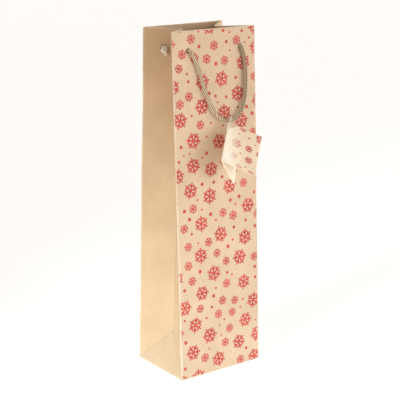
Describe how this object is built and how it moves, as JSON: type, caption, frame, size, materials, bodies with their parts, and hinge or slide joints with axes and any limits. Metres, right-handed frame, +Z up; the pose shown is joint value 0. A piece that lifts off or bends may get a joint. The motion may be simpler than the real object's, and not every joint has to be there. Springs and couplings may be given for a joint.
{
  "type": "wine gift bag",
  "caption": "Tall gusseted kraft paper gift bag for one bottle, with a snowflake print, knotted rope handles and a folded tag on a string.",
  "frame": {"origin": "centre of the footprint, on the ground under the base", "axes": "+Z up towards the mouth, front panel with the tag towards -Y, side folds towards -X and +X"},
  "size_m": [0.113, 0.1369, 0.3997],
  "materials": {
    "printed_kraft": "matte",
    "plain_kraft": "matte",
    "grey_board": "matte",
    "handle_cord": "matte",
    "string": "matte",
    "tag_card": "matte"
  },
  "bodies": {
    "base": {"base_front_flap": "plain_kraft", "base_back_flap": "plain_kraft", "base_left_flap": "plain_kraft", "base_right_flap": "plain_kraft", "base_card": "grey_board", "left_base_triangle": "plain_kraft", "right_base_triangle": "plain_kraft"},
    "front": {"front_panel": "printed_kraft", "front_card": "grey_board", "front_hem": "plain_kraft", "front_left_lead": "handle_cord", "front_right_lead": "handle_cord"},
    "back": {"back_panel": "printed_kraft", "back_card": "grey_board", "back_hem": "plain_kraft", "back_seam_flap": "plain_kraft", "back_left_lead": "handle_cord", "back_right_lead": "handle_cord"},
    "front_left_side": {"front_left_side": "plain_kraft", "front_left_side_hem": "plain_kraft", "front_left_knot": "handle_cord"},
    "front_right_side": {"front_right_side": "plain_kraft", "front_right_side_hem": "plain_kraft", "front_right_knot": "handle_cord"},
    "back_left_side": {"back_left_side": "plain_kraft", "back_left_side_hem": "plain_kraft", "back_left_knot": "handle_cord"},
    "back_right_side": {"back_right_side": "plain_kraft", "back_right_side_hem": "plain_kraft", "back_right_knot": "handle_cord"},
    "front_handle": {"front_handle": "handle_cord"},
    "back_handle": {"back_handle": "handle_cord"},
    "tag_string": {"tag_string": "string", "tag_knot": "string"},
    "tag": {"tag_back_leaf": "tag_card"},
    "tag_cover": {"tag_cover_leaf": "tag_card"}
  },
  "joints": [
    {"name": "mouth", "type": "hinge", "parent": "base", "child": "front", "pos_m": [0, -0.045, 0], "axis": [-1, 0, 0], "range_deg": [-0.8, 0.4]},
    {"name": "back_lean", "type": "hinge", "parent": "base", "child": "back", "pos_m": [0, 0.045, 0], "axis": [1, 0, 0], "range_deg": [-0.8, 0.4]},
    {"name": "front_left_fold", "type": "hinge", "parent": "front", "child": "front_left_side", "pos_m": [-0.0565, -0.045, 0], "axis": [0, -0.0402, -0.9992], "range_deg": [-9.78, 5.14], "deforming": ["front_left_lead"]},
    {"name": "front_right_fold", "type": "hinge", "parent": "front", "child": "front_right_side", "pos_m": [0.0565, -0.045, 0], "axis": [0, 0.0402, 0.9992], "range_deg": [-9.78, 5.14], "deforming": ["front_right_lead"]},
    {"name": "back_left_fold", "type": "hinge", "parent": "back", "child": "back_left_side", "pos_m": [-0.0565, 0.045, 0], "axis": [0, -0.0402, 0.9992], "range_deg": [-9.78, 5.14], "deforming": ["back_left_lead"]},
    {"name": "back_right_fold", "type": "hinge", "parent": "back", "child": "back_right_side", "pos_m": [0.0565, 0.045, 0], "axis": [0, 0.0402, -0.9992], "range_deg": [-9.78, 5.14], "deforming": ["back_right_lead"]},
    {"name": "front_handle_swing", "type": "hinge", "parent": "front", "child": "front_handle", "pos_m": [0, -0.03268, 0.37781], "axis": [-1, 0, 0], "range_deg": [0, 172]},
    {"name": "back_handle_swing", "type": "hinge", "parent": "back", "child": "back_handle", "pos_m": [0, 0.03268, 0.37781], "axis": [1, 0, 0], "range_deg": [0, 180]},
    {"name": "string_hang", "type": "hinge", "parent": "front_handle", "child": "tag_string", "pos_m": [0.014, -0.03914, 0.29595], "axis": [-1, 0, 0], "range_deg": [-172, 0]},
    {"name": "tag_swing", "type": "hinge", "parent": "tag_string", "child": "tag", "pos_m": [0.00681, -0.04887, 0.29125], "axis": [-1, 0, 0], "range_deg": [0, 60]},
    {"name": "tag_opening", "type": "hinge", "parent": "tag", "child": "tag_cover", "pos_m": [0.0069, -0.0478, 0.2968], "axis": [-0.591, -0.53, -0.608], "range_deg": [-37, 60]}
  ],
  "couplings": [
    {"joint": "back_lean", "follows": "mouth", "ratio": 1},
    {"joint": "front_left_fold", "follows": "mouth", "ratio": 11.594},
    {"joint": "front_right_fold", "follows": "mouth", "ratio": 11.594},
    {"joint": "back_left_fold", "follows": "mouth", "ratio": 11.594},
    {"joint": "back_right_fold", "follows": "mouth", "ratio": 11.594},
    {"joint": "string_hang", "follows": "front_handle_swing", "ratio": -1}
  ]
}
